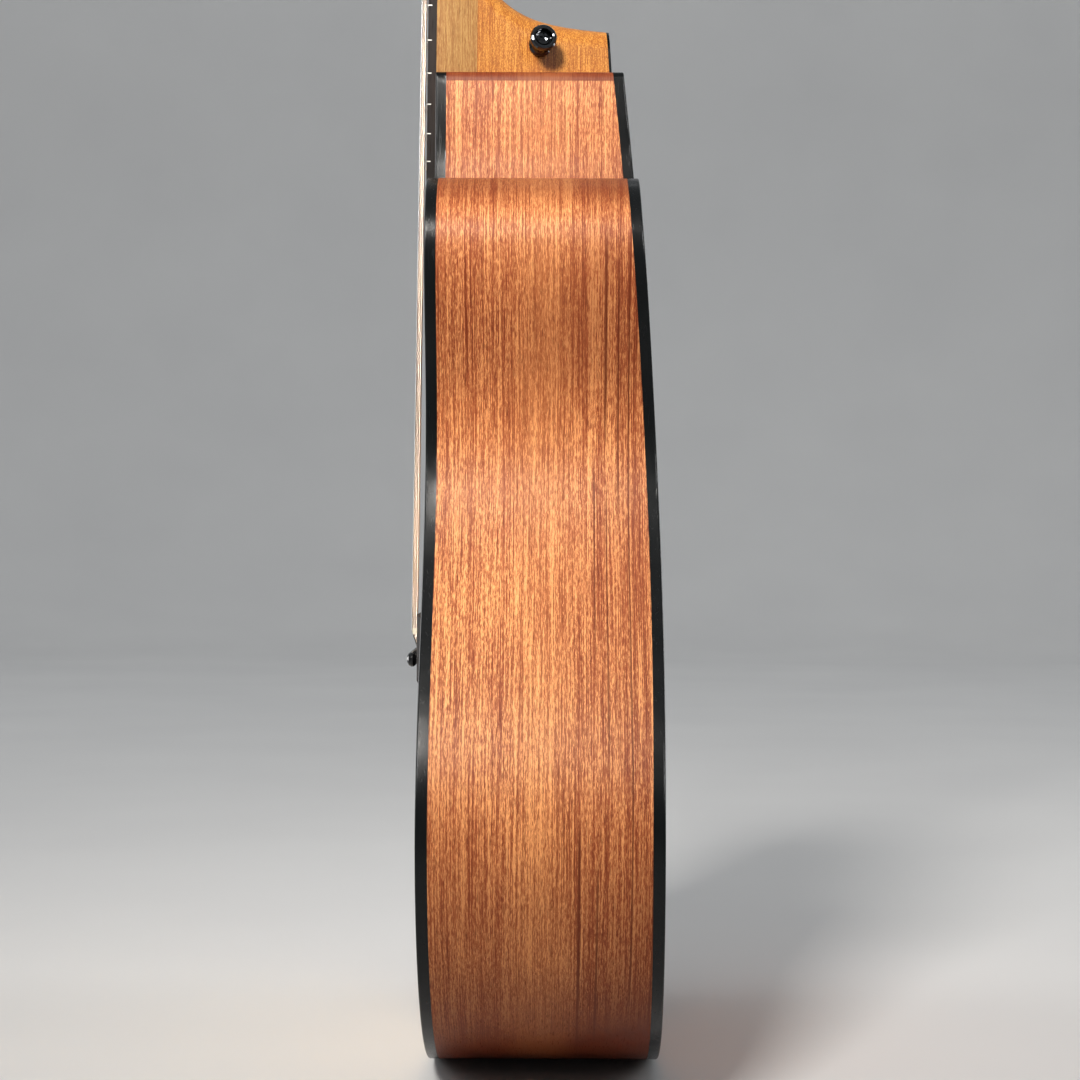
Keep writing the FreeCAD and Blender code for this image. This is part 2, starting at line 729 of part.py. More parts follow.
def frets():
    return lean(group([fret(n) for n in range(1, fret_count + 1)]))


def dots():
    """Round markers in the face of the fingerboard and, smaller, in its bass edge."""
    markers = []
    for number in (3, 5, 7, 9, 12, 15, 17):
        z = (fret_z(number) + fret_z(number - 1)) / 2
        across = (-8.5, 8.5) if number == 12 else (0,)
        for x in across:
            markers.append(cylinder(2.6, 5.5, V(x, -9, z), V(0, 1, 0)))
            markers.append(cylinder(1.0, 6.0, V(-board_half(z) - 3, -2.6, z + x / 3), V(1, 0, 0)))
    return [lean(m) for m in markers]


def fingerboard_parts():
    board = board_blank()
    markers = [m.common(board) for m in dots()]
    for marker in markers:
        board = board.cut(marker)
    for n in range(1, fret_count + 1):
        slot = box(-60, 60, -board_thick - 1, -board_thick + 3.6, fret_z(n) - tang_half,
                   fret_z(n) + tang_half)
        tang = Part.makeCylinder(board_radius - tang_deep - 2 * NEAR, 700,
                                 V(0, board_radius - board_thick, 350), V(0, 0, 1))
        board = board.cut(lean(slot.cut(tang)))
    return board, group(markers)


def nut():
    bone = box(-nut_half, nut_half, -nut_height, -NEAR, nut_z + NEAR, nut_z + nut_thick - NEAR)
    crown = cylinder(board_radius, 30, V(0, board_radius - nut_height + 0.3, nut_z - 10), V(0, 0, 1))
    bone = bone.common(crown)
    slant = box(-40, 40, -4, 0, 0, 20)
    slant.rotate(V(0, 0, 0), V(1, 0, 0), -14)
    slant.translate(V(0, -nut_height + 0.8, nut_z + 2.4))
    bone = lean(bone.cut(slant))
    for number in range(1, 7):
        bone = bone.cut(string_tube(number, 0.03))
    return bone


def truss_rod():
    """A steel box rod laid in the neck, with its threaded end at the headstock."""
    rod = box(-2.95, 2.95, 0.6, 9.4, body_length + 3, nut_z - 1.0)
    thread = cylinder(2.05, 13.8, V(0, 5.0, nut_z - 1.0), V(0, 0, 1))
    return lean(rod.fuse(thread).removeSplitter())


def truss_nut():
    """The nut screwed on the rod's end, with a hexagonal socket for the key."""
    axis_y = 5.0
    barrel = cylinder(3.2, 7.6, V(0, axis_y, nut_z + 9.6), V(0, 0, 1))
    socket = Part.Face(Part.makePolygon([
        V(1.9 * math.cos(math.radians(60 * i)), axis_y + 1.9 * math.sin(math.radians(60 * i)),
          nut_z + 13.6) for i in range(7)])).extrude(V(0, 0, 10))
    threaded = cylinder(2.1, 4.6, V(0, axis_y, nut_z + 8.6), V(0, 0, 1))
    return lean(barrel.cut(socket).cut(threaded))


def veneer():
    sheet = head_slab(-NEAR, -veneer_thick, start=0.6)
    for _, x, u, _ in tuner_places():
        sheet = sheet.cut(post_hole(x, u, 5.0))
    return lean(sheet.cut(cavity_for_truss_nut()))


def truss_cover():
    """A small bell-shaped plate over the truss rod's pocket."""
    v0, v1 = -veneer_thick - NEAR, -veneer_thick - 1.5
    low, high = 1.6, 42.0
    edges = [Part.LineSegment(head_frame(low, v0, -11), head_frame(low, v0, 11)).toShape()]
    for side in LEFT_RIGHT:
        curve = Part.BSplineCurve()
        curve.interpolate([head_frame(u, v0, side * x)
                           for x, u in ((11, low), (10.4, 14), (7.4, 28), (4.2, high))])
        edges.append(curve.toShape())
    edges.append(Part.Arc(head_frame(high, v0, -4.2), head_frame(high + 3.4, v0, 0),
                          head_frame(high, v0, 4.2)).toShape())
    plate = Part.Face(Part.Wire(Part.__sortEdges__(edges))).extrude(
        head_frame(0, v1) - head_frame(0, v0))
    for x, u in cover_screw_places():
        plate = plate.cut(cylinder(1.15, 6, head_frame(u, 2, x), head_normal()))
    return lean(plate)


def cover_screw_places():
    return ((-8.0, 5.0), (8.0, 5.0), (0.0, 40.5))


def wood_screw(base, direction):
    """A small round-headed screw whose head's underside is at base."""
    profile = [(0, -9.0), (0.4, -8.6), (0.95, -7.4), (0.95, 0), (1.9, 0), (1.7, 0.7),
               (1.0, 1.15), (0, 1.3)]
    screw = revolved(profile, base, direction)
    side = direction.cross(V(1, 0.2, 0)).normalize()
    other = direction.cross(side).normalize()
    for a, b in ((side, other), (other, side)):
        arm = Part.makePolygon([base + direction * 0.7 + a * i * 1.1 + b * j * 0.22
                                for i, j in ((-1, -1), (1, -1), (1, 1), (-1, 1), (-1, -1))])
        screw = screw.cut(Part.Face(arm).extrude(direction * 2))
    return screw


def neck_bolts():
    bolts = []
    for y in bolt_heights():
        seat = body_length - 62 - 8.5
        profile = [(0, 0), (5.5, 0), (5.5, 6.0), (9.0, 6.2), (9.0, 8.4), (2.9, 8.4), (2.9, 30.0),
                   (2.45, 70.6), (2.45, 87.0), (0, 88.0)]
        bolt = revolved(profile, V(0, y, seat), V(0, 0, 1))
        socket = Part.Face(Part.makePolygon([
            V(2.6 * math.cos(math.radians(60 * i)), y + 2.6 * math.sin(math.radians(60 * i)),
              seat - 1) for i in range(7)])).extrude(V(0, 0, 4.5))
        bolts.append(bolt.cut(socket))
    return group(bolts)


# ---------------------------------------------------------------- strap buttons

strap_y, strap_z, strap_lift = 53.7, 525.4, 9.0


def strap_axis():
    """The outward direction of the heel's cheek where the strap button stands."""
    step = 2.0
    slope = (cheek_half(strap_y + step) - cheek_half(strap_y - step)) / (2 * step)
    return V(1, -slope, math.tan(math.radians(strap_lift))).normalize()


def strap_base():
    return V(cheek_half(strap_y) - 0.25, strap_y, strap_z)


def strap_button_seat():
    return cylinder(6.1, 5, strap_base(), strap_axis())


def button_profile():
    """(radius, height) of a strap button: flange, waist, wide head with a dished middle."""
    return [(2.3, 0), (5.9, 0), (5.9, 1.2), (4.9, 2.4), (4.1, 4.4), (4.0, 6.6), (4.7, 8.4),
            (6.2, 9.6), (6.9, 10.4), (6.9, 12.4), (6.3, 13.4), (5.4, 13.8), (4.6, 13.4),
            (4.1, 12.2), (4.0, 11.0), (2.3, 11.0)]


def strap_button():
    return revolved(button_profile(), strap_base() + strap_axis() * NEAR, strap_axis())


def strap_screw(slack):
    profile = [(0, -19.5 - slack), (0.6 + slack, -19.0), (1.6 + slack, -16.5), (1.6 + slack, 10.0),
               (2.2, 11.05), (3.7, 11.05), (3.5, 12.2), (2.2, 12.9), (0, 13.1)]
    screw = revolved(profile, strap_base(), strap_axis())
    if slack:
        return screw
    base, axis = strap_base(), strap_axis()
    across = axis.cross(V(0, 0, 1)).normalize()
    up = across.cross(axis)
    for a, b in ((up, across), (across, up)):
        arm = Part.makePolygon([base + axis * 12.0 + a * i * 2.2 + b * j * 0.4
                                for i, j in ((-1, -1), (1, -1), (1, 1), (-1, 1), (-1, -1))])
        screw = screw.cut(Part.Face(arm).extrude(axis * 3))
    return screw


def end_pin():
    """The tapered pin pushed into the tail block, with a head that holds the strap."""
    profile = [(0, 26.0), (4.0, 26.0), (4.55, 0), (7.2, 0), (7.2, -1.4), (5.4, -2.6), (4.6, -4.6),
               (4.6, -6.4), (5.4, -7.8), (6.9, -8.6), (6.9, -10.4), (5.6, -11.6), (3.0, -12.4),
               (0, -12.6)]
    return revolved([(r, h) for r, h in profile], V(0, end_pin_y, 0), V(0, 0, 1))


# ---------------------------------------------------------------- tuners

def tuner_axes(side):
    """Outward, along the headstock and towards its face, for one tuner."""
    return V(side, 0, 0), head_up(), head_normal()


def tuner_point(x, u, side, out, along, up):
    """A point near a tuner. up = 0 is the back of the headstock."""
    outward, lengthwise, normal = tuner_axes(side)
    return head_frame(u, head_thick, x) + outward * out + lengthwise * along + normal * up


def tuner_box(x, u, side, out, along, up):
    """A block in the tuner's own directions, from three (low, high) pairs."""
    outward, lengthwise, normal = tuner_axes(side)
    low = tuner_point(x, u, side, out[0], along[0], up[0])
    a = outward * (out[1] - out[0])
    b = lengthwise * (along[1] - along[0])
    face = Part.Face(Part.makePolygon([low, low + a, low + a + b, low + b, low]))
    return face.extrude(normal * (up[1] - up[0]))


def tuner_housing(x, u, side):
    outward, _, normal = tuner_axes(side)
    case = tuner_box(x, u, side, (-6.4, 8.0), (-6.4, 9.2), (-8.4, -NEAR))
    case = case.makeFillet(1.6, [e for e in case.Edges
                                 if abs(e.tangentAt(e.FirstParameter).dot(normal)) > 0.9])
    outer = [e for e in case.Edges if e.CenterOfMass.sub(tuner_point(
        x, u, side, 0.8, 1.4, -8.4)).dot(normal) < 0.01]
    case = case.makeFillet(1.2, outer)
    ear = tuner_box(x, u, side, (-3.2, 3.2), (-11.6, -5.0), (-1.8, -NEAR))
    boss = cylinder(3.4, 5.0, tuner_point(x, u, side, 7.5, worm_side, -worm_down), outward)
    case = case.fuse(ear).fuse(boss).removeSplitter()
    room = cylinder(gear_pitch_radius + 1.0, 3.2, tuner_point(x, u, side, 0, 0, -6.0), normal)
    tunnel = cylinder(worm_pitch_radius + 0.95, 9.6,
                      tuner_point(x, u, side, -4.8, worm_side, -worm_down), outward)
    bearing = cylinder(1.65, 30, tuner_point(x, u, side, 0, worm_side, -worm_down), outward)
    post = cylinder(post_radius + 0.05, 12, tuner_point(x, u, side, 0, 0, -7.0), normal)
    case = case.cut(room).cut(tunnel).cut(bearing).cut(post)
    return case.cut(cylinder(1.15, 6, tuner_point(x, u, side, 0, -9.0, -4), normal))


def tuner_bushing(x, u, side):
    """A hexagonal nut whose sleeve lines the hole in the headstock."""
    outward, lengthwise, normal = tuner_axes(side)
    top = head_thick + veneer_thick
    seat = tuner_point(x, u, side, 0, 0, top + NEAR)
    corners = [seat + normal * 0.9 + (outward * math.cos(math.radians(60 * i))
               + lengthwise * math.sin(math.radians(60 * i))) * 5.6 for i in range(7)]
    nut_part = Part.Face(Part.makePolygon(corners)).extrude(normal * 2.0)
    washer = cylinder(6.4, 0.9, seat, normal)
    sleeve = cylinder(4.9, 10, tuner_point(x, u, side, 0, 0, top - 9), normal)
    body = nut_part.fuse(washer).fuse(sleeve).removeSplitter()
    return body.cut(cylinder(post_radius + 0.05, 30, tuner_point(x, u, side, 0, 0, 0), normal))


def worm_gear(x, u, side):
    """A gear on the foot of the post. Its teeth are thin, to clear the sloping thread."""
    outward, lengthwise, normal = tuner_axes(side)
    centre = tuner_point(x, u, side, 0, 0, -worm_down - gear_width / 2)
    root = gear_pitch_radius - 1.2 * gear_module
    tip = gear_pitch_radius + 0.9 * gear_module
    disc = cylinder(root, gear_width, centre, normal)
    for i in range(gear_teeth):
        turn = 2 * math.pi * i / gear_teeth
        ray = lengthwise * math.cos(turn) + outward * math.sin(turn)
        aside = ray.cross(normal)
        corners = [centre + ray * (root - 0.4) - aside * 0.36, centre + ray * tip - aside * 0.14,
                   centre + ray * tip + aside * 0.14, centre + ray * (root - 0.4) + aside * 0.36]
        tooth = Part.Face(Part.makePolygon(corners + corners[:1])).extrude(normal * gear_width)
        disc = disc.fuse(tooth)
    bore = cylinder(1.5, 12, centre - normal * 5, normal)
    return disc.removeSplitter().cut(bore)


def worm_thread(x, u, side):
    """One start of thread, wound so that a gap faces the gear tooth that points at it."""
    turns = 3.0
    height = turns * pitch
    helix = Part.makeHelix(pitch, height, worm_pitch_radius - 0.75)
    foot = worm_pitch_radius - 0.75
    tip = worm_pitch_radius + 0.5
    half_foot, half_tip = 0.42, 0.16
    section = Part.makePolygon([V(foot, 0, -half_foot), V(tip, 0, -half_tip), V(tip, 0, half_tip),
                                V(foot, 0, half_foot), V(foot, 0, -half_foot)])
    sweep = Part.Wire(helix.Edges).makePipeShell([section], True, True)
    return sweep


def worm_shaft(x, u, side):
    outward, lengthwise, normal = tuner_axes(side)
    axis_start = tuner_point(x, u, side, 0, worm_side, -worm_down)
    core = cylinder(worm_pitch_radius - 0.6, 9.2, axis_start - outward * 4.6, outward)
    spindle = cylinder(1.6, 13.4, axis_start + outward * 4.2, outward)
    thread = worm_thread(x, u, side)
    turns = 3.0
    # The thread starts on its own +X; half a pitch up, its gap is centred on the gear.
    place = FreeCAD.Placement()
    rotation = FreeCAD.Rotation(lengthwise * -1, normal * side, outward, "ZXY")
    place.Rotation = rotation
    place.Base = axis_start - outward * (turns / 2 * pitch + pitch / 2 - pitch / 2)
    thread.Placement = place
    return core.fuse(spindle).fuse(thread).removeSplitter()


def tuner_button_shape(x, u, side):
    """An oval button with rounded rims on the end of the worm shaft."""
    outward, lengthwise, normal = tuner_axes(side)
    centre = tuner_point(x, u, side, 22.0, worm_side, -worm_down)
    oval = Part.Ellipse(centre + lengthwise * 8.6 - normal * 3.4,
                        centre + outward * 6.4 - normal * 3.4, centre - normal * 3.4)
    solid = Part.Face(Part.Wire(oval.toShape())).extrude(normal * 6.8)
    solid = solid.makeFillet(2.4, solid.Edges)
    collar = cylinder(2.9, 4.0, tuner_point(x, u, side, 13.0, worm_side, -worm_down), outward)
    solid = solid.fuse(collar).removeSplitter()
    return solid.cut(cylinder(1.6 + NEAR, 8.0,
                              tuner_point(x, u, side, 9.7, worm_side, -worm_down), outward))


def string_post(x, u, side):
    """A waisted post with a hole for the string."""
    _, lengthwise, normal = tuner_axes(side)
    top = head_thick + veneer_thick + 14.5
    profile = [(0, -6.9), (1.45, -6.9), (1.45, -3.1), (post_radius, -3.1), (post_radius, top - 11.0),
               (post_radius, top - 10.6), (2.7, top - 8.0), (2.7, top - 4.0), (post_radius, top - 1.6),
               (post_radius, top - 0.5), (2.4, top), (0, top)]
    post = revolved(profile, tuner_point(x, u, side, 0, 0, 0), normal)
    hole = cylinder(0.9, 12, tuner_point(x, u, side, 0, -6, top - 4.6), lengthwise)
    return post.cut(hole)


def winding_turns(number):
    return (2, 3, 3, 4, 5, 6)[number - 1]


winding_base = 5.2


def windings(number, x, u, side):
    """The turns of string on a post, as one ribbed sleeve."""
    _, _, normal = tuner_axes(side)
    radius = string_diameters[number - 1] / 2
    turns = winding_turns(number)
    inner = post_radius + NEAR
    low = head_thick + veneer_thick + winding_base - radius
    edges = [Part.LineSegment(V(inner, 0, low), V(inner + radius, 0, low)).toShape()]
    for i in range(turns):
        base = low + 2 * radius * i
        start = V(inner + radius, 0, base)
        crest = V(inner + 2 * radius, 0, base + radius)
        end = V(inner + radius, 0, base + 2 * radius)
        edges.append(Part.Arc(start, crest, end).toShape())
    high = low + 2 * radius * turns
    edges.append(Part.LineSegment(V(inner + radius, 0, high), V(inner, 0, high)).toShape())
    edges.append(Part.LineSegment(V(inner, 0, high), V(inner, 0, low)).toShape())
    solid = Part.Face(Part.Wire(edges)).revolve(V(0, 0, 0), V(0, 0, 1), 360)
    solid.Placement = FreeCAD.Placement(tuner_point(x, u, side, 0, 0, 0),
                                        FreeCAD.Rotation(V(0, 0, 1), normal))
    return solid


# ---------------------------------------------------------------- strings

def string_route(number):
    """Corners of a string's path from its ball under the bridge plate to its post."""
    i = number - 1
    radius = string_diameters[i] / 2
    x_saddle = string_xs(saddle_spread)[i]
    x_nut = string_xs(nut_spread)[i]
    pin_face = pin_z + pin_radius - radius - 0.1
    top = -(string_height - string_crown(x_saddle)) + string_diameters[3] / 2
    ball = V(x_saddle, under_plate + 0.7, pin_face)
    bend = V(x_saddle, -bridge_thick + 1.0 - radius, pin_face)
    over_saddle = V(x_saddle, top - radius - 0.09, saddle_line_z(x_saddle))
    fret_top = -(board_thick - string_crown(x_nut)) - fret_height
    at_nut = lean_point(V(x_nut, fret_top - 0.45 - radius, nut_z + 1.2))
    _, x, u, side = tuner_places()[i]
    level = head_thick + veneer_thick + winding_base
    centre = tuner_point(x, u, side, 0, 0, level)
    arm = post_radius + NEAR + radius
    inside = lean_point(centre - V(side, 0, 0) * arm)
    away = at_nut - inside
    gap = math.sqrt((arm + 2 * radius + 0.1) ** 2 - arm ** 2)
    end = inside + away.normalize() * gap
    return [ball, bend, over_saddle, at_nut, end]


def bend_radius(number):
    return (3.2, 2.6, 3.0) if string_diameters[number - 1] > 1 else (2.6, 2.2, 3.0)


def string_tube(number, slack=0.0):
    """Straight runs joined by arcs that are tangent to both."""
    points = string_route(number)
    radius = string_diameters[number - 1] / 2 + slack
    edges = []
    start = points[0]
    for corner, before, after, bend in zip(points[1:-1], points, points[2:], bend_radius(number)):
        back = (before - corner).normalize()
        ahead = (after - corner).normalize()
        half_turn = (math.pi - back.getAngle(ahead)) / 2
        reach = bend * math.tan(half_turn)
        first, last = corner + back * reach, corner + ahead * reach
        middle = (back + ahead).normalize()
        crest = corner + middle * (bend / math.cos(half_turn) - bend)
        edges.append(Part.LineSegment(start, first).toShape())
        edges.append(Part.Arc(first, crest, last).toShape())
        start = last
    edges.append(Part.LineSegment(start, points[-1]).toShape())
    path = Part.Wire(edges)
    circle = Part.Circle(points[0], points[1] - points[0], radius).toShape()
    return path.makePipeShell([Part.Wire(circle)], True, False)


def guitar_string(number):
    """The string and the ball at its end, which bears on the bridge plate."""
    tube = string_tube(number)
    ball_at = string_route(number)[0]
    ball = cylinder(1.9, 3.2, V(ball_at.x - 1.6, ball_at.y + 1.25, ball_at.z), V(1, 0, 0))
    return tube.fuse(ball).removeSplitter()


# ---------------------------------------------------------------- everything

def tuner_group(maker):
    return lean(group([maker(x, u, side) for _, x, u, side in tuner_places()]))


def small_screws():
    screws = []
    for _, x, u, side in tuner_places():
        _, _, normal = tuner_axes(side)
        screws.append(wood_screw(tuner_point(x, u, side, 0, -9.0, -1.8 - NEAR), normal * -1))
    for x, u in cover_screw_places():
        screws.append(wood_screw(head_frame(u, -veneer_thick - 1.5 - NEAR, x), head_normal()))
    return group([lean(s) for s in screws])


def drill_head(shape):
    """Holes in the headstock for the small screws."""
    for _, x, u, side in tuner_places():
        _, _, normal = tuner_axes(side)
        shape = shape.cut(lean(cylinder(1.0, 12, tuner_point(x, u, side, 0, -9.0, -4), normal)))
    for x, u in cover_screw_places():
        shape = shape.cut(lean(cylinder(1.0, 14, head_frame(u, 8.5, x), head_normal())))
    return shape


def build():
    os.makedirs("parts", exist_ok=True)
    treble, bass, graft = sides()
    top_lining, back_lining = linings()
    head_block, tail_block = blocks()
    for name, shape in (("soundboard", soundboard()), ("back_plate", back_plate()),
                        ("side_treble", treble), ("side_bass", bass.cut(end_pin_bore(0))),
                        ("end_graft", graft.cut(end_pin_bore(0.05))),
                        ("top_binding", top_binding()), ("back_binding", back_binding()),
                        ("rosette", rosette_ring(NEAR)), ("neck_block", head_block),
                        ("tail_block", tail_block), ("top_lining", top_lining),
                        ("back_lining", back_lining), ("top_braces", top_braces()),
                        ("back_braces", back_bracing()), ("bridge_plate", bridge_plate()),
                        ("bridge", bridge()), ("saddle", saddle()), ("bridge_pins", bridge_pins())):
        save(name, shape)
    shaft, heel, cap = neck_parts()
    board, markers = fingerboard_parts()
    for name, shape in (("neck", drill_head(shaft)), ("heel_block", heel), ("heel_cap", cap),
                        ("fingerboard", board), ("frets", frets()), ("position_dots", markers),
                        ("nut", nut()), ("truss_rod", truss_rod()), ("truss_rod_nut", truss_nut()),
                        ("headstock_veneer", drill_head(veneer())),
                        ("truss_rod_cover", truss_cover()), ("neck_bolts", neck_bolts()),
                        ("strap_button", strap_button()), ("strap_button_screw", strap_screw(0)),
                        ("end_pin", end_pin()), ("tuner_housings", tuner_group(tuner_housing)),
                        ("tuner_bushings", tuner_group(tuner_bushing)),
                        ("small_screws", small_screws())):
        save(name, shape)
    for number, x, u, side in tuner_places():
        save(f"string_{number}", guitar_string(number))
        save(f"tuner_button_{number}", lean(group([worm_shaft(x, u, side),
                                                   tuner_button_shape(x, u, side)])))
        save(f"string_post_{number}", lean(group([string_post(x, u, side),
                                                  worm_gear(x, u, side)])))
        save(f"string_windings_{number}", lean(windings(number, x, u, side)))


build()
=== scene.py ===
import math
import bmesh
import bpy
from mathutils import Matrix, Vector


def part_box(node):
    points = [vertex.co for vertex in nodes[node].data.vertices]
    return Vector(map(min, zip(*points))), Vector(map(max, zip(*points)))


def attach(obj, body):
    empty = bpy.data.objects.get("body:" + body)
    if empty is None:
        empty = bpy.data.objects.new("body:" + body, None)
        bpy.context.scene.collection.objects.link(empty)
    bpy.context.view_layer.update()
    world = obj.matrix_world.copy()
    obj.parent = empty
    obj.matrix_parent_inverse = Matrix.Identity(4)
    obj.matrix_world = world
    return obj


# Looks of the guitar: a finish for the wood, plastic, bone, pearl, metal or wire of every solid,
# and a pearl dot let into the head of each bridge pin. Metres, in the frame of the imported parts.

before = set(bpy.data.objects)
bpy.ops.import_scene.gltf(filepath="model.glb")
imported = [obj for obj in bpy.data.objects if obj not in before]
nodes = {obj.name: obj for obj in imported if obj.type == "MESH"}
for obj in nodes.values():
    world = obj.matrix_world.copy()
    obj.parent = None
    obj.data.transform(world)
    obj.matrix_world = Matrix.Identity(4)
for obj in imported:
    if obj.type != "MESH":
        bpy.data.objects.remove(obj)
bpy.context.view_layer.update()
SAME_POINT = 1e-6      # corners of loose triangles closer than this are one corner


# ---------------------------------------------------------------- shader arithmetic

class Channel:
    """A socket that carries a number or a vector. Arithmetic on it adds Math nodes."""

    def __init__(self, finish, socket):
        self.finish = finish
        self.socket = socket

    def __add__(self, other):
        return self.finish.math("ADD", self, other)

    __radd__ = __add__

    def __sub__(self, other):
        return self.finish.math("SUBTRACT", self, other)

    def __rsub__(self, other):
        return self.finish.math("SUBTRACT", other, self)

    def __mul__(self, other):
        return self.finish.math("MULTIPLY", self, other)

    __rmul__ = __mul__

    def __truediv__(self, other):
        return self.finish.math("DIVIDE", self, other)

    def __rtruediv__(self, other):
        return self.finish.math("DIVIDE", other, self)

    def __abs__(self):
        return self.finish.math("ABSOLUTE", self)


class Finish:
    """One material, built from expressions on channels."""

    def __init__(self, name):
        self.material = bpy.data.materials.new(name)
        self.material.use_nodes = True
        self.tree = self.material.node_tree
        self.tree.nodes.clear()
        self.spot = self.node("ShaderNodeTexCoord", out="Object")
        self.x, self.y, self.z = (self.part_of(self.spot, axis) for axis in "XYZ")

    def node(self, kind, settings=None, inputs=None, out=0, stops=None):
        """Adds a node. Settings come first, then the values or links of its sockets."""
        made = self.tree.nodes.new(kind)
        for key, value in (settings or {}).items():
            setattr(made, key, value)
        if stops:
            ramp = made.color_ramp
            while len(ramp.elements) < len(stops):
                ramp.elements.new(0.5)
            for element, (place, colour) in zip(ramp.elements, stops):
                element.position = place
                element.color = (*colour, 1) if len(colour) == 3 else colour
        for key, value in (inputs or {}).items():
            if isinstance(value, Channel):
                self.tree.links.new(value.socket, made.inputs[key])
            else:
                made.inputs[key].default_value = value
        return Channel(self, made.outputs[out]) if out is not None else made

    def math(self, operation, *values):
        return self.node("ShaderNodeMath", {"operation": operation}, dict(enumerate(values)))

    def part_of(self, vector, axis):
        return self.node("ShaderNodeSeparateXYZ", None, {0: vector}, out=axis)

    def join(self, x, y, z):
        return self.node("ShaderNodeCombineXYZ", None, {0: x, 1: y, 2: z})

    def stretched(self, x, y, z, turn=(0, 0, 0)):
        """The place on the piece, counted in pattern cells a metre along each axis."""
        return self.node("ShaderNodeMapping", {"vector_type": "POINT"},
                         {"Vector": self.spot, "Rotation": turn, "Scale": (x, y, z)})

    def even(self, cells):
        """The same number of pattern cells a metre along every axis."""
        return self.stretched(cells, cells, cells)

    def noise(self, where, detail, rough=0.5, warp=0.0):
        return self.node("ShaderNodeTexNoise", {"noise_dimensions": "3D"},
                         {"Vector": where, "Scale": 1.0, "Detail": detail,
                          "Roughness": rough, "Distortion": warp}, out="Fac")

    def between(self, value, low, high):
        """0 below low, 1 above high, smooth in between."""
        return self.node("ShaderNodeMapRange", {"interpolation_type": "SMOOTHSTEP"},
                         {"Value": value, "From Min": low, "From Max": high})

    def bell(self, value, centre, width):
        """1 at the centre, falling to 0 at the width on either side."""
        return 1 - self.between(abs(value - centre), width * 0.25, width)

    def mix(self, factor, first, second):
        """The first colour where the factor is 0, the second where it is 1."""
        def as_colour(c):
            return c if isinstance(c, Channel) else (*c, 1)
        return self.node("ShaderNodeMix", {"data_type": "RGBA"},
                         {0: factor, 6: as_colour(first), 7: as_colour(second)}, out=2)

    def bump(self, height, distance, strength):
        return self.node("ShaderNodeBump", None, {"Height": height, "Distance": distance,
                                                  "Strength": strength})

    def done(self, colour, rough, metal=0.0, normal=None, coat=0.0, coat_rough=0.1,
             specular=0.5):
        """Closes the finish with its shader. Normal is left out where there is no relief."""
        inputs = {"Base Color": colour, "Roughness": rough, "Metallic": metal,
                  "Coat Weight": coat, "Coat Roughness": coat_rough,
                  "Specular IOR Level": specular}
        if normal:
            inputs["Normal"] = normal
        shader = self.node("ShaderNodeBsdfPrincipled", None, inputs)
        self.node("ShaderNodeOutputMaterial", None, {"Surface": shader}, out=None)
        return self.material


# ---------------------------------------------------------------- woods

def shade(colour, *factor):
    """A plain colour made darker or lighter, by one factor or by one for each channel."""
    factor = factor * 3 if len(factor) == 1 else factor
    return [c * k for c, k in zip(colour, factor)]


def painted_side_shade(f):
    """Painted shade on the bent side: darker toward the back, at the shoulder, over the upper and
    lower bouts and at the tail.
    """
    back_edge = f.between(f.y, -0.02, 0.06)
    shoulder = f.between(f.z, 0.420, 0.436) * (1 - f.between(f.z, 0.450, 0.475))
    shoulder = shoulder * f.between(f.x, 0.02, 0.06)
    upper_bout = f.bell(f.z, 0.372, 0.062)
    lower_bout = 1 - f.between(f.z, 0.09, 0.17)
    tail = 1 - f.between(f.z, -0.005, 0.085)
    return (0.24 * back_edge + 0.62 * shoulder + 0.30 * upper_bout + 0.34 * lower_bout
            + 0.78 * tail)


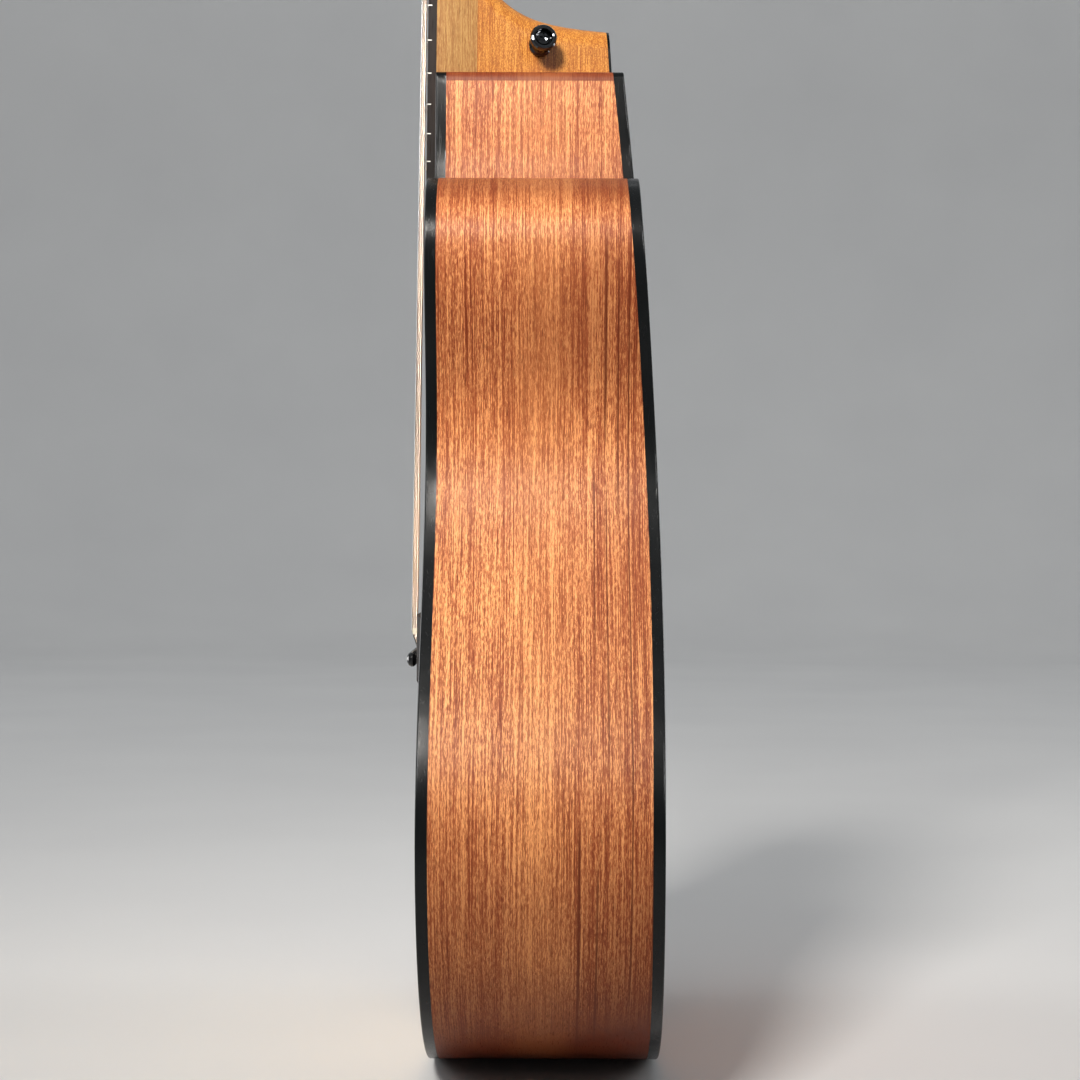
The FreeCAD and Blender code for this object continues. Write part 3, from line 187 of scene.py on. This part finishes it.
def mahogany(name, light, mid, dark, across="y", streaks=(), golden=None, gloss=0.42,
             shaded=False, run=1.0, lean=0.0, figure=1.0):
    """Ribbon-figured wood with its grain lines along the piece, and short pores in them.

    across: the axes that the lines are counted over. run: the length of every mark. lean: the
    turn of the grain about X. figure: how strongly the marks show. golden: the place, width
    and colour of a paler board. streaks: the place over Y, the two heights and the width of
    each dark line. shaded: painted shade on the bent side, and a thin darker band along its
    top, just under the heel.
    """
    f = Finish(name)
    along_grain = 0.02
    step = {"x": (1, along_grain, along_grain), "y": (along_grain, 1, along_grain),
            "xy": (1, 1, along_grain)}[across]

    def along(lines, length):
        """Cells for marks that are 1/lines wide and length times longer."""
        size = (lines * (s if s == 1 else 1 / (length * run)) for s in step)
        return f.stretched(*size, turn=(lean, 0, 0))

    broad = f.noise(along(30, 4), 2)
    lines = f.noise(along(2100, 120), 3, 0.78, 0.05)
    fine = f.noise(along(4000, 50), 2, 0.65)
    flecks = f.noise(along(2700, 9), 2, 0.75, 0.2)
    pores = f.between(f.noise(along(2600, 16), 1), 0.61, 0.70)
    ribbon = f.noise(along(420, 90), 2, 0.5, 0.1)
    tone = 0.46 * lines + 0.22 * fine + 0.20 * flecks + 0.12 * ribbon
    glow = 0.42 * flecks + 0.40 * lines + 0.18 * ribbon
    colour = f.mix(f.between(tone, 0.425, 0.515) * figure + (1 - figure), dark, mid)
    colour = f.mix(f.between(glow, 0.49, 0.556) * (0.98 * figure), colour, light)
    colour = f.mix(f.between(broad, 0.42, 0.62) * 0.20, colour, shade(mid, 0.72))
    if shaded:
        # Painted shade on the side: darker toward the back, at the shoulder, over the bouts and at
        # the tail.
        colour = f.mix(painted_side_shade(f), colour, shade(mid, 0.30, 0.20, 0.17))
        # A thin darker band along the top of the side, just under the heel.
        band_under_heel = f.between(f.z, 0.5044, 0.5052)
        colour = f.mix(band_under_heel * 0.90, colour, shade(dark, 0.8))
    if golden:
        place, width, tint = golden
        board = f.bell(f.y + 0.010 * broad, place, width)
        colour = f.mix(board * 0.14, colour, tint)
    for place, low, high, width in streaks:
        fade = 0.02
        wander = f.noise(f.stretched(0, 0, 9), 1) * 0.0016
        line = f.bell(f.y + wander, place + 0.0008, width)
        reach = f.between(f.z, low - fade, low + fade) * (1 - f.between(f.z, high - fade, high))
        colour = f.mix(line * reach * (0.6 + 0.4 * fine), colour, shade(dark, 0.6))
    colour = f.mix(pores * (0.5 * figure), colour, shade(dark, 0.45))
    relief = f.bump(0.5 * lines + 0.35 * fine - 0.7 * pores, 0.00014, 0.5)
    rough = gloss + 0.14 * pores + 0.10 * (lines - 0.5)
    return f.done(colour, rough, normal=relief, specular=0.2)


def spruce(name, light, dark, spacing=0.0014, finished=True):
    """Book-matched softwood: narrow dark winter lines, closer at the joined centre."""
    f = Finish(name)
    wander = f.noise(f.stretched(5, 5, 1.6), 2) * 0.006
    across = abs(f.x + 0.0004) + wander
    bend = across * (1 + 1.1 * across)
    ring = f.math("FRACT", bend / spacing)
    winter = f.between(ring, 0.35, 0.93) * (1 - f.between(ring, 0.95, 1.0))
    year = f.noise(f.join(f.math("FLOOR", bend / spacing) * 7.31, 0.0, 0.0), 0)
    fibre = f.noise(f.stretched(2600, 2600, 55), 2, 0.6)
    silk = f.between(f.noise(f.stretched(240, 240, 900), 2, 0.6, 0.8), 0.60, 0.72)
    patch = f.noise(f.stretched(9, 9, 4), 2)
    colour = f.mix(winter * (0.42 + 0.58 * year), light, dark)
    colour = f.mix(silk * 0.22, colour, shade(light, 1.16))
    colour = f.mix(f.between(patch, 0.35, 0.7) * 0.28, colour, shade(light, 0.86))
    colour = f.mix(f.between(fibre, 0.4, 0.75) * 0.10, colour, dark)
    relief = f.bump(fibre * 0.5 + winter * 0.4, 0.00006, 0.35)
    rough = (0.38 if finished else 0.63) + 0.08 * fibre
    return f.done(colour, rough, normal=relief, coat=0.3 if finished else 0.0, coat_rough=0.22)


def rosewood(name, light, dark, gloss=0.45, coat=0.0):
    """Dark oily wood with ink lines and open pores along it."""
    f = Finish(name)
    lines = f.noise(f.stretched(330, 330, 7), 3, 0.6, 0.5)
    ink = f.between(f.noise(f.stretched(150, 150, 3.2), 2, 0.55, 0.7), 0.52, 0.66)
    pores = f.between(f.noise(f.stretched(1300, 1300, 120), 1), 0.60, 0.70)
    colour = f.mix(f.between(lines, 0.32, 0.68), dark, light)
    colour = f.mix(ink * 0.75, colour, shade(dark, 0.45))
    colour = f.mix(pores * 0.7, colour, (0.012, 0.006, 0.004))
    relief = f.bump(lines * 0.3 - pores, 0.00012, 0.5)
    return f.done(colour, gloss + 0.15 * pores, normal=relief, coat=coat, coat_rough=0.06,
                  specular=0.2)


BODY_MAHOGANY = {"light": (0.96, 0.46, 0.19), "mid": (0.50, 0.165, 0.066),
                 "dark": (0.23, 0.052, 0.021)}
SIDE_STREAKS = ((0.0285, 0.32, 0.42, 0.0011), (0.0290, 0.17, 0.30, 0.0006),
                (0.0158, 0.00, 0.15, 0.0010), (0.0240, 0.01, 0.13, 0.0007),
                (0.0490, 0.02, 0.16, 0.0007), (0.0345, 0.28, 0.41, 0.0007),
                (0.0232, 0.22, 0.31, 0.0006), (0.0395, 0.05, 0.42, 0.0006))

side_wood = mahogany("side_mahogany", **BODY_MAHOGANY, shaded=True, streaks=SIDE_STREAKS,
                     golden=(0.004, 0.020, (0.66, 0.29, 0.11)))
back_wood = mahogany("back_mahogany", **BODY_MAHOGANY, across="x")
neck_wood = mahogany("neck_mahogany", (0.48, 0.285, 0.100), (0.36, 0.182, 0.058),
                     (0.27, 0.12, 0.038), across="xy", figure=0.9)
heel_wood = mahogany("heel_mahogany", (0.68, 0.325, 0.080), (0.46, 0.180, 0.040),
                     (0.34, 0.11, 0.028), across="xy", gloss=0.40, run=0.30, lean=0.5)
bare_mahogany = mahogany("bare_mahogany", (0.62, 0.34, 0.18), (0.46, 0.22, 0.11),
                         (0.30, 0.13, 0.06), across="xy", gloss=0.6)
top_spruce = spruce("top_spruce", (0.80, 0.55, 0.29), (0.42, 0.20, 0.07))
bare_spruce = spruce("bare_spruce", (0.80, 0.63, 0.42), (0.58, 0.38, 0.20), spacing=0.002,
                     finished=False)
board_rosewood = rosewood("board_rosewood", (0.022, 0.012, 0.009), (0.008, 0.005, 0.004))
bridge_ebony = rosewood("bridge_ebony", (0.022, 0.014, 0.011), (0.009, 0.006, 0.005))
veneer_rosewood = rosewood("veneer_rosewood", (0.085, 0.038, 0.022), (0.030, 0.013, 0.009),
                           gloss=0.3, coat=0.8)


# ---------------------------------------------------------------- plastics, bone, metals

def satin_plastic(name, colour, rough=0.34, coat=0.0, scratch=0.25):
    """Black moulded or bound plastic with faint scuffs along the piece."""
    f = Finish(name)
    cloud = f.noise(f.even(60), 3, 0.6)
    grain = f.noise(f.even(2400), 2, 0.6)
    scuffs = f.between(f.noise(f.stretched(700, 700, 35), 2, 0.6, 1.0), 0.62, 0.75)
    tone = f.mix(cloud * 0.5, shade(colour, 0.75), shade(colour, 1.3))
    rough = rough + scratch * 0.5 * scuffs + 0.12 * (cloud - 0.5)
    return f.done(tone, rough, normal=f.bump(grain, 0.00002, 0.4), coat=coat, coat_rough=0.05,
                  specular=0.35)


def polished_bone(name):
    f = Finish(name)
    lines = f.noise(f.stretched(40, 500, 500), 2)
    specks = f.between(f.noise(f.stretched(250, 2600, 2600), 1), 0.62, 0.74)
    colour = f.mix(f.between(lines, 0.35, 0.7), (0.83, 0.78, 0.65), (0.74, 0.66, 0.49))
    colour = f.mix(specks * 0.35, colour, (0.55, 0.45, 0.30))
    return f.done(colour, 0.28 + 0.2 * specks, normal=f.bump(lines, 0.00003, 0.3))


def pearl(name):
    f = Finish(name)
    folds = f.noise(f.even(260), 3, 0.55, 2.2)
    fine = f.noise(f.stretched(1100, 1100, 700), 2, 0.5, 1.2)
    sheen = f.node("ShaderNodeValToRGB", None, {"Fac": 0.7 * folds + 0.3 * fine}, stops=(
        (0.30, (0.62, 0.70, 0.66)), (0.45, (0.86, 0.84, 0.78)), (0.56, (0.80, 0.68, 0.72)),
        (0.70, (0.66, 0.78, 0.80))))
    return f.done(sheen, 0.18 + 0.1 * fine, coat=0.5, coat_rough=0.04)


def metal(name, colour, rough, brushed=0.0, worn=None):
    """A metal with fine polishing lines and, where worn is given, a colour that shows on it."""
    f = Finish(name)
    lines = f.noise(f.stretched(300, 300, 5200), 2, 0.6)
    cloud = f.noise(f.even(120), 3, 0.6)
    tone = f.mix(f.between(cloud, 0.3, 0.7), shade(colour, 0.86), colour)
    if worn:
        spots = f.between(f.noise(f.even(500), 3, 0.65), 0.60, 0.72)
        tone = f.mix(spots * 0.5, tone, worn)
    relief = f.bump(lines, 0.00002, brushed) if brushed else None
    rough = rough + 0.10 * (cloud - 0.4) + 0.08 * lines * (1 if brushed else 0.3)
    return f.done(tone, rough, metal=1.0, normal=relief)


def wound_wire(name, colour, rough, pitch):
    """Round wrap wire laid close about a core: ribs across the string."""
    f = Finish(name)
    turn = f.math("FRACT", (f.z + 0.12 * f.x) / pitch)
    rib = f.math("SQRT", f.math("MAXIMUM", 0.0, 1 - 4 * (turn - 0.5) * (turn - 0.5)))
    age = f.noise(f.stretched(90, 90, 22), 3, 0.6)
    # Painted shade: the grooves between the turns are coloured darker than the crests.
    tone = f.mix(rib, shade(colour, 0.38), colour)
    tone = f.mix(f.between(age, 0.45, 0.75) * 0.35, tone, shade(colour, 0.62))
    return f.done(tone, rough + 0.15 * age, metal=1.0, normal=f.bump(rib, 0.00010, 0.8))


def rosette_rings(name):
    """Inlaid rings about the sound hole: black and white lines round a band of chevrons."""
    f = Finish(name)
    low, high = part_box("rosette")
    middle_x, middle_z = (low.x + high.x) / 2, (low.z + high.z) / 2
    outer = (high.x - low.x) / 2
    ring_width, chevrons, slant = 0.0115, 96, 1.4
    across, up = f.x - middle_x, f.z - middle_z
    radius = f.math("SQRT", across * across + up * up)
    angle = f.math("ARCTAN2", across, up)
    share = (radius - (outer - ring_width)) / ring_width
    dark, pale, warm = (0.014, 0.012, 0.011), (0.76, 0.68, 0.50), (0.36, 0.13, 0.05)
    line = f.node("ShaderNodeValToRGB", None, {"Fac": share}, stops=(
        (0.0, dark), (0.055, pale), (0.10, dark), (0.20, pale), (0.245, warm), (0.76, pale),
        (0.80, dark), (0.90, pale), (0.945, dark)))
    line.socket.node.color_ramp.interpolation = "CONSTANT"
    fold = angle * (chevrons / (2 * math.pi)) + abs(share - 0.5) * slant
    chevron = f.between(abs(f.math("FRACT", fold) - 0.5), 0.22, 0.27)
    band = f.between(share, 0.30, 0.31) * (1 - f.between(share, 0.70, 0.71))
    colour = f.mix(band * chevron, line, pale)
    grain = f.noise(f.even(1600), 2, 0.6)
    colour = f.mix(grain * 0.22, colour, (0.20, 0.12, 0.07))
    return f.done(colour, 0.34 + 0.08 * grain, coat=0.3, coat_rough=0.2)


binding_black = satin_plastic("black_binding", (0.0060, 0.0072, 0.0078), 0.24)
graft_black = satin_plastic("graft_black", (0.010, 0.009, 0.008), 0.38)
gloss_black = satin_plastic("gloss_black", (0.010, 0.010, 0.011), 0.14, coat=0.6, scratch=0.1)
bone = polished_bone("bone")
pearl_inlay = pearl("pearl_inlay")
fret_wire = metal("fret_wire", (0.80, 0.77, 0.72), 0.24, brushed=0.3)
plain_steel = metal("plain_steel", (0.52, 0.52, 0.52), 0.36, brushed=0.6)
black_chrome = metal("black_chrome", (0.13, 0.132, 0.138), 0.03, worn=(0.17, 0.17, 0.175))
rosette_inlay = rosette_rings("rosette_rings")
plain_wire = metal("plain_wire", (0.72, 0.71, 0.69), 0.20, brushed=0.2)
WRAP_PITCHES = (0.00042, 0.00036, 0.00030, 0.00024)      # strings 1 to 4, the thickest first
string_wires = [wound_wire(f"wrap_{number}", (0.90, 0.75, 0.64), 0.26, pitch)
                for number, pitch in enumerate(WRAP_PITCHES, 1)] + [plain_wire, plain_wire]


# ---------------------------------------------------------------- the finish of every solid

FINISHES = {
    "soundboard": top_spruce, "back_plate": back_wood, "side_treble": side_wood,
    "side_bass": side_wood, "end_graft": graft_black, "top_binding": binding_black,
    "back_binding": binding_black, "rosette": rosette_inlay, "neck_block": bare_mahogany,
    "tail_block": bare_mahogany, "top_lining": bare_mahogany, "back_lining": bare_mahogany,
    "top_braces": bare_spruce, "back_braces": bare_spruce, "bridge_plate": bridge_ebony,
    "bridge": bridge_ebony, "saddle": bone, "bridge_pins": gloss_black, "neck": neck_wood,
    "heel_block": heel_wood, "heel_cap": binding_black, "fingerboard": board_rosewood,
    "frets": fret_wire, "position_dots": pearl_inlay, "nut": bone, "truss_rod": plain_steel,
    "truss_rod_nut": plain_steel, "headstock_veneer": veneer_rosewood,
    "truss_rod_cover": gloss_black, "neck_bolts": plain_steel, "strap_button": black_chrome,
    "strap_button_screw": black_chrome, "end_pin": gloss_black,
    "tuner_housings": black_chrome, "tuner_bushings": black_chrome,
    "small_screws": black_chrome,
}
for number, wire in enumerate(string_wires, 1):
    FINISHES[f"string_{number}"] = wire
    FINISHES[f"string_windings_{number}"] = wire
    FINISHES[f"tuner_button_{number}"] = black_chrome
    FINISHES[f"string_post_{number}"] = black_chrome

for name, part in nodes.items():
    part.data.materials.clear()
    part.data.materials.append(FINISHES[name])


# ---------------------------------------------------------------- pearl dots in the bridge pins

class Tree:
    """A Geometry Nodes tree with named inputs for its sizes."""

    def __init__(self, name, sizes):
        self.group = bpy.data.node_groups.new(name, "GeometryNodeTree")
        self.group.interface.new_socket("Geometry", in_out="INPUT",
                                        socket_type="NodeSocketGeometry")
        self.sockets = {}
        for size in sizes:
            self.sockets[size] = self.group.interface.new_socket(
                size, in_out="INPUT", socket_type="NodeSocketFloat")
        self.group.interface.new_socket("Geometry", in_out="OUTPUT",
                                        socket_type="NodeSocketGeometry")
        self.start = self.group.nodes.new("NodeGroupInput")
        self.end = self.group.nodes.new("NodeGroupOutput")

    def size(self, name):
        return self.start.outputs[name]

    def node(self, kind, inputs):
        """Adds a node with the values or links of its sockets and gives its first output."""
        made = self.group.nodes.new(kind)
        for key, value in inputs.items():
            if isinstance(value, bpy.types.NodeSocket):
                self.group.links.new(value, made.inputs[key])
            else:
                made.inputs[key].default_value = value
        return made.outputs[0]

    def finish(self, geometry, material):
        """Instances made real, given their material and passed to the output."""
        real = self.node("GeometryNodeRealizeInstances", {0: geometry})
        dressed = self.node("GeometryNodeSetMaterial", {"Geometry": real, "Material": material})
        self.group.links.new(dressed, self.end.inputs[0])

    def grow(self, name, mesh, sizes):
        """Runs the tree over a mesh and keeps the result as a plain object."""
        seed = bpy.data.objects.new(name + "_seed", mesh)
        bpy.context.scene.collection.objects.link(seed)
        modifier = seed.modifiers.new("grow", "NODES")
        modifier.node_group = self.group
        for size, value in sizes.items():
            modifier[self.sockets[size].identifier] = value
        seen = seed.evaluated_get(bpy.context.evaluated_depsgraph_get())
        grown = bpy.data.meshes.new_from_object(seen)
        bpy.data.objects.remove(seed)
        made = bpy.data.objects.new(name, grown)
        bpy.context.scene.collection.objects.link(made)
        return made


def loose_islands(node):
    """The separate solids of a CAD node, each as a list of its points."""
    bm = bmesh.new()
    bm.from_mesh(nodes[node].data)
    bmesh.ops.remove_doubles(bm, verts=bm.verts, dist=SAME_POINT)
    left, groups = set(bm.verts), []
    while left:
        todo = [left.pop()]
        group = []
        while todo:
            corner = todo.pop()
            group.append(corner.co.copy())
            for edge in corner.link_edges:
                far = edge.other_vert(corner)
                if far in left:
                    left.remove(far)
                    todo.append(far)
        groups.append(group)
    bm.free()
    return groups


def pin_dots():
    """A domed pearl dot let into the head of each bridge pin."""
    crown_depth = 0.0012
    dot_sizes = {"Dot Radius": 0.00125, "Dot Depth": 0.00016}

    def middle(values):
        return (min(values) + max(values)) / 2

    places = []
    for points in loose_islands("bridge_pins"):
        front = min(p.y for p in points)
        crown = [p for p in points if p.y < front + crown_depth]
        places.append((middle([p.x for p in crown]), front, middle([p.z for p in crown])))
    tree = Tree("pin_dot_tree", dot_sizes)
    ball = tree.node("GeometryNodeMeshUVSphere", {"Segments": 20, "Rings": 12, "Radius": 1.0})
    shape = tree.node("ShaderNodeCombineXYZ", {
        0: tree.size("Dot Radius"), 1: tree.size("Dot Depth"), 2: tree.size("Dot Radius")})
    dots = tree.node("GeometryNodeInstanceOnPoints", {
        "Points": tree.start.outputs[0], "Instance": ball, "Scale": shape})
    tree.finish(dots, pearl_inlay)
    seed = bpy.data.meshes.new("pin_dot_places")
    seed.from_pydata(places, [], [])
    dots = tree.grow("pin_dots", seed, dot_sizes)
    dots.data.polygons.foreach_set("use_smooth", [True] * len(dots.data.polygons))
    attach(dots, "guitar")


# ---------------------------------------------------------------- floor, lights, camera

def pale_ground():
    f = Finish("pale_ground")
    cloud = f.noise(f.even(3), 2)
    colour = f.mix(cloud, (0.70, 0.70, 0.70), (0.76, 0.76, 0.755))
    return f.done(colour, 0.8, specular=0.0)


def sweep_floor():
    """A round floor that curves up into a plain wall on every side."""
    low = -0.0005      # the tail rests on the floor and the end pin goes down into it
    flat, curve, wall_top = 4.2, 1.6, 4.6
    curve_steps, round_steps = 12, 72
    profile = [(0.0, low)]
    for i in range(curve_steps + 1):
        turn = math.pi / 2 * i / curve_steps
        profile.append((flat + curve * math.sin(turn), low + curve * (1 - math.cos(turn))))
    profile.append((flat + curve, wall_top))
    bm = bmesh.new()
    rows = [[bm.verts.new((r * math.cos(a), r * math.sin(a), z)) for r, z in profile]
            for a in (2 * math.pi * k / round_steps for k in range(round_steps))]
    for one, two in zip(rows, rows[1:] + rows[:1]):
        for i in range(len(profile) - 1):
            bm.faces.new((one[i], one[i + 1], two[i + 1], two[i]))
    bmesh.ops.remove_doubles(bm, verts=bm.verts, dist=SAME_POINT)
    bmesh.ops.recalc_face_normals(bm, faces=bm.faces)
    mesh = bpy.data.meshes.new("ground")
    bm.to_mesh(mesh)
    bm.free()
    mesh.polygons.foreach_set("use_smooth", [True] * len(mesh.polygons))
    mesh.materials.append(pale_ground())
    ground = bpy.data.objects.new("ground", mesh)
    bpy.context.scene.collection.objects.link(ground)


def soft_light(name, place, target, size, power, colour=(1, 1, 1), spread=180,
               shine_only=False):
    """A rectangular lamp. With shine_only it is seen only as the shine on lacquer and edges."""
    lamp = bpy.data.lights.new(name, "AREA")
    lamp.shape = "RECTANGLE"
    lamp.size, lamp.size_y = size
    lamp.energy = power
    lamp.color = colour
    lamp.spread = math.radians(spread)
    holder = bpy.data.objects.new(name, lamp)
    holder.location = place
    holder.rotation_euler = (Vector(target) - Vector(place)).to_track_quat("-Z", "Y").to_euler()
    holder.visible_diffuse = not shine_only
    bpy.context.scene.collection.objects.link(holder)


def studio():
    """A small warm key on the treble side, panels for the shine, and soft light all round."""
    warm, pale_sky = (1.0, 0.96, 0.91), (0.94, 0.97, 1.0, 1)
    soft_light("key", (1.30, -0.44, 1.28), (0.0, 0.0, 0.48), (0.35, 0.35), 4.2, warm, 64)
    for name, beside in (("front_panel", -1.4), ("back_panel", 1.4)):
        soft_light(name, (-0.62, beside, 0.6), (-0.05, 0, 0.4), (1.0, 1.5), 15,
                   shine_only=True)
    for name, place in (("left_glint", (1.5, -0.9, 1.2)), ("right_glint", (1.5, 0.8, 1.0))):
        soft_light(name, place, (0.05, 0.0, 0.5), (0.25, 0.6), 9, shine_only=True)
    for name, beside in (("front_fill", -3.0), ("back_fill", 3.0)):
        soft_light(name, (-0.9, beside, 1.6), (0, 0, 0.5), (1.6, 1.6), 16)
    soft_light("wall_wash", (-2.6, 0.0, 4.4), (-5.8, 0, 1.6), (5.0, 1.0), 34)
    world = bpy.data.worlds.new("studio")
    world.use_nodes = True
    sky = world.node_tree.nodes["Background"]
    sky.inputs["Color"].default_value = pale_sky
    sky.inputs["Strength"].default_value = 0.32
    bpy.context.scene.world = world
    bpy.context.scene.view_settings.view_transform = "Standard"
    bpy.context.scene.view_settings.look = "Medium High Contrast"


def camera():
    """Level with the lower bout and square to the treble side."""
    distance, beside, height = 1.2248, 0.0011, 0.268
    yaw, roll = -0.00325, 0.0039
    lens = bpy.data.cameras.new("view")
    lens.sensor_width = 36
    lens.lens = 76.91
    lens.clip_start = 0.01
    holder = bpy.data.objects.new("view", lens)
    facing = Matrix(((0, 0, 1), (1, 0, 0), (0, 1, 0)))
    turn = Matrix.Rotation(-yaw, 3, "Z") @ facing @ Matrix.Rotation(roll, 3, "Z")
    holder.matrix_world = Matrix.Translation((distance, beside, height)) @ turn.to_4x4()
    bpy.context.scene.collection.objects.link(holder)
    bpy.context.scene.camera = holder


pin_dots()
sweep_floor()
studio()
camera()
